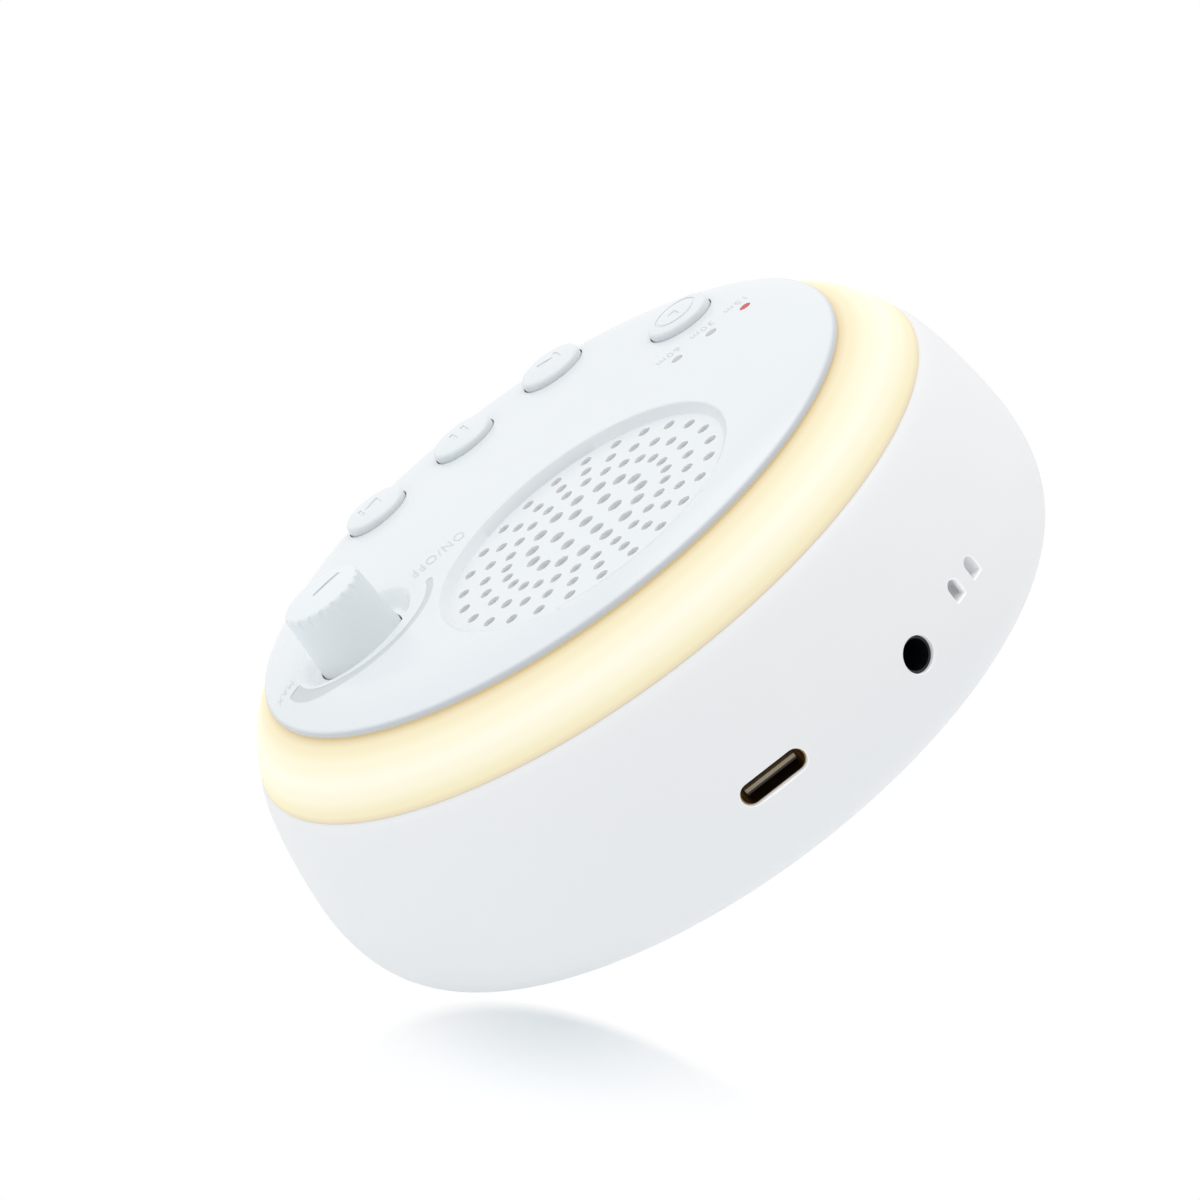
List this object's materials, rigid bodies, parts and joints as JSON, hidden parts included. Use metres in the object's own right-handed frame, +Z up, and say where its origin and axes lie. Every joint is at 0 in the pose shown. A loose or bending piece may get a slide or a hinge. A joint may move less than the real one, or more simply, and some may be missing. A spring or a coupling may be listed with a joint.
{
  "type": "sound machine",
  "caption": "Round white sound machine: bowl body, glowing ring and domed top with a speaker grille, a volume knob, press buttons and timer lights.",
  "frame": {"origin": "centre of the round base, on the plane that its feet stand on", "axes": "+Z up, -Y to the user's side where the row of buttons is, +Y to the side with the sockets, +X to the side with the volume knob"},
  "size_m": [0.1, 0.1, 0.0471],
  "materials": {
    "satin_white": "satin moulded ABS",
    "gloss_white": "gloss moulded ABS",
    "warm_diffuser": "translucent diffuser, lit warm white",
    "reflector_white": "matt white reflector",
    "strip_film": "white flexible circuit film",
    "led_package": "phosphor-filled LED package",
    "red_light": "clear light pipe, lit red",
    "clear_light": "clear light pipe, unlit",
    "black_rubber": "matt rubber",
    "screw_steel": "zinc-plated steel",
    "mesh_fabric": "fine acoustic mesh",
    "foam": "closed-cell foam",
    "dark_metal": "dark plated steel",
    "cone_black": "pressed paper",
    "copper": "enamelled copper winding",
    "board_green": "solder-masked glass-epoxy board",
    "part_black": "moulded part",
    "plunger_tan": "moulded plunger",
    "shaft_aluminium": "turned aluminium",
    "socket_steel": "nickel-plated steel shell",
    "battery_film": "foil pouch",
    "ribbon_grey": "flat cable",
    "header_ivory": "moulded header"
  },
  "bodies": {
    "machine": {"body_shell": "satin_white", "base_cover": "satin_white", "top_plate": "gloss_white", "speaker_grille": "gloss_white", "light_ring": "warm_diffuser", "light_carrier": "reflector_white", "led_strip": "strip_film", "ring_leds": "led_package", "indicator_leds": "led_package", "timer_light_15": "red_light", "timer_light_30": "clear_light", "timer_light_60": "clear_light", "rubber_foot_1": "black_rubber", "rubber_foot_2": "black_rubber", "rubber_foot_3": "black_rubber", "rubber_foot_4": "black_rubber", "base_screws": "screw_steel", "deck_screws": "screw_steel", "plate_screws": "screw_steel", "control_board_screws": "screw_steel", "power_board_screws": "screw_steel", "speaker_screws": "screw_steel", "acoustic_mesh": "mesh_fabric", "speaker_gasket": "foam", "speaker_frame": "dark_metal", "speaker_magnet": "dark_metal", "speaker_cone": "cone_black", "speaker_surround": "black_rubber", "voice_coil": "copper", "control_board": "board_green", "power_board": "board_green", "previous_switch": "part_black", "pause_switch": "part_black", "next_switch": "part_black", "timer_switch": "part_black", "volume_pot": "part_black", "usb_socket": "socket_steel", "usb_tongue": "part_black", "headphone_jack": "part_black", "battery": "battery_film", "battery_pad": "foam", "board_ribbon": "ribbon_grey", "ribbon_headers": "header_ivory"},
    "volume_control": {"volume_knob": "gloss_white", "volume_shaft": "shaft_aluminium"},
    "previous_key": {"previous_button": "gloss_white", "previous_plunger": "plunger_tan"},
    "pause_key": {"pause_button": "gloss_white", "pause_plunger": "plunger_tan"},
    "next_key": {"next_button": "gloss_white", "next_plunger": "plunger_tan"},
    "timer_key": {"timer_button": "gloss_white", "timer_plunger": "plunger_tan"}
  },
  "joints": [
    {"name": "volume_turn", "type": "hinge", "parent": "machine", "child": "volume_control", "pos_m": [0.0274, 0.0011, 0], "axis": [0, 0, -1], "range_deg": [0, 210]},
    {"name": "previous_press", "type": "slide", "parent": "machine", "child": "previous_key", "axis": [0, 0, -1], "range_m": [0, 0.0005], "stiffness_N_per_m": 800},
    {"name": "pause_press", "type": "slide", "parent": "machine", "child": "pause_key", "axis": [0, 0, -1], "range_m": [0, 0.0005], "stiffness_N_per_m": 800},
    {"name": "next_press", "type": "slide", "parent": "machine", "child": "next_key", "axis": [0, 0, -1], "range_m": [0, 0.0005], "stiffness_N_per_m": 800},
    {"name": "timer_press", "type": "slide", "parent": "machine", "child": "timer_key", "axis": [0, 0, -1], "range_m": [0, 0.0005], "stiffness_N_per_m": 800}
  ]
}
